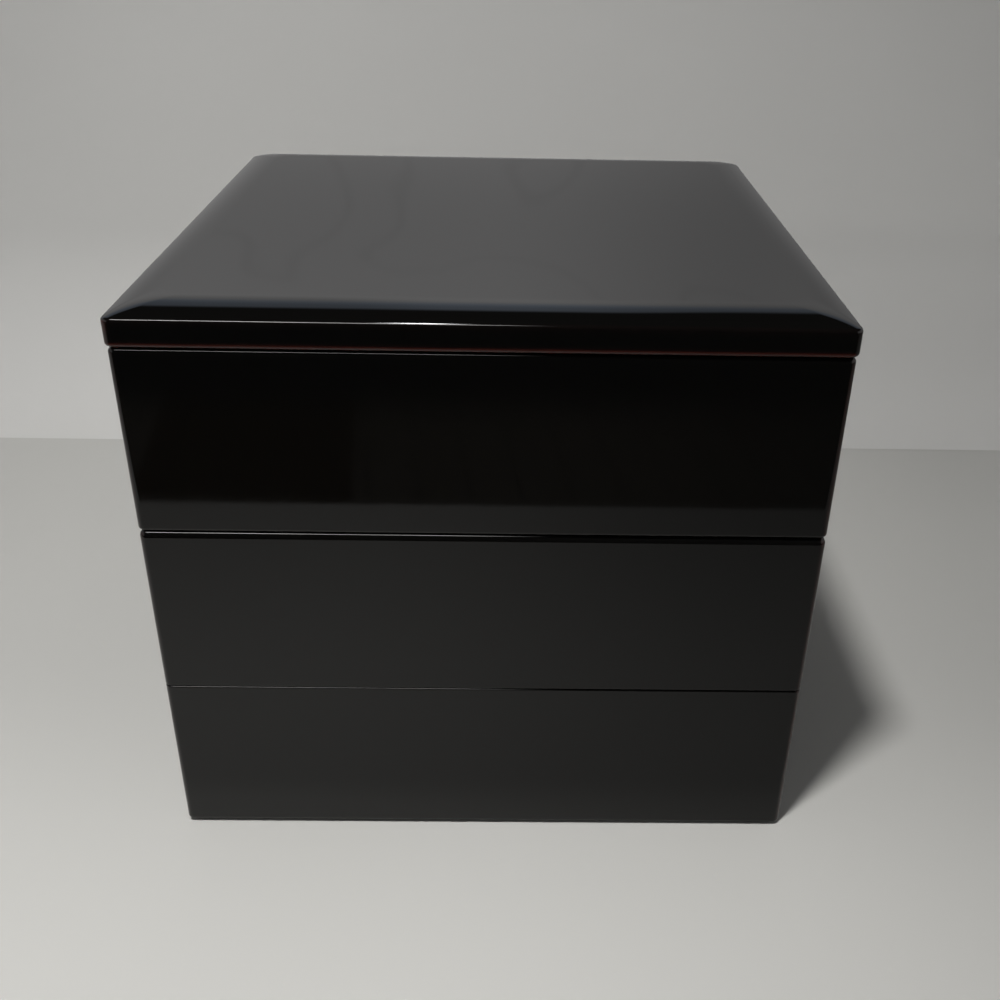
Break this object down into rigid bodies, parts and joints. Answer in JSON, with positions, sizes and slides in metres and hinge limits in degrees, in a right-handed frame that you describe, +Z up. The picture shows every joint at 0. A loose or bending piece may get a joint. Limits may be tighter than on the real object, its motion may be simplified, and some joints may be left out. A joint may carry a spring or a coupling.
{
  "type": "stacking lacquered food box",
  "caption": "Square wooden food box in stacking tiers under a flat lid with a soft shoulder, black lacquer with thin red-brown edges.",
  "frame": {"origin": "middle of the base, on the surface the box stands on", "axes": "+Z up through the stack, -Y the front, +X to the right seen from the front"},
  "size_m": [0.196, 0.196, 0.1754],
  "materials": {
    "black_lacquer": "high-gloss black lacquer, red-brown where it thins at the edges",
    "red_lacquer": "satin vermilion lacquer",
    "bare_wood": "bare planed wood"
  },
  "bodies": {
    "bottom_tier": {"bottom_tier_front_wall": "black_lacquer", "bottom_tier_right_wall": "black_lacquer", "bottom_tier_back_wall": "black_lacquer", "bottom_tier_left_wall": "black_lacquer", "bottom_tier_floor_board": "red_lacquer", "bottom_tier_front_strip": "black_lacquer", "bottom_tier_right_strip": "black_lacquer", "bottom_tier_back_strip": "black_lacquer", "bottom_tier_left_strip": "black_lacquer", "bottom_tier_corner_keys": "bare_wood"},
    "middle_tier": {"middle_tier_front_wall": "black_lacquer", "middle_tier_right_wall": "black_lacquer", "middle_tier_back_wall": "black_lacquer", "middle_tier_left_wall": "black_lacquer", "middle_tier_floor_board": "red_lacquer", "middle_tier_front_strip": "black_lacquer", "middle_tier_right_strip": "black_lacquer", "middle_tier_back_strip": "black_lacquer", "middle_tier_left_strip": "black_lacquer", "middle_tier_corner_keys": "bare_wood"},
    "top_tier": {"top_tier_front_wall": "black_lacquer", "top_tier_right_wall": "black_lacquer", "top_tier_back_wall": "black_lacquer", "top_tier_left_wall": "black_lacquer", "top_tier_floor_board": "red_lacquer", "top_tier_front_strip": "black_lacquer", "top_tier_right_strip": "black_lacquer", "top_tier_back_strip": "black_lacquer", "top_tier_left_strip": "black_lacquer", "top_tier_corner_keys": "bare_wood"},
    "lid": {"lid_top_panel": "black_lacquer", "lid_front_rim": "black_lacquer", "lid_right_rim": "black_lacquer", "lid_back_rim": "black_lacquer", "lid_left_rim": "black_lacquer", "lid_front_strip": "black_lacquer", "lid_right_strip": "black_lacquer", "lid_back_strip": "black_lacquer", "lid_left_strip": "black_lacquer", "lid_corner_keys": "bare_wood"}
  },
  "joints": [
    {"name": "middle_tier_lift", "type": "slide", "parent": "bottom_tier", "child": "middle_tier", "axis": [0, 0, 1], "range_m": [0, 0.1]},
    {"name": "top_tier_lift", "type": "slide", "parent": "middle_tier", "child": "top_tier", "axis": [0, 0, 1], "range_m": [0, 0.1]},
    {"name": "lid_lift", "type": "slide", "parent": "top_tier", "child": "lid", "axis": [0, 0, 1], "range_m": [0, 0.1]}
  ]
}
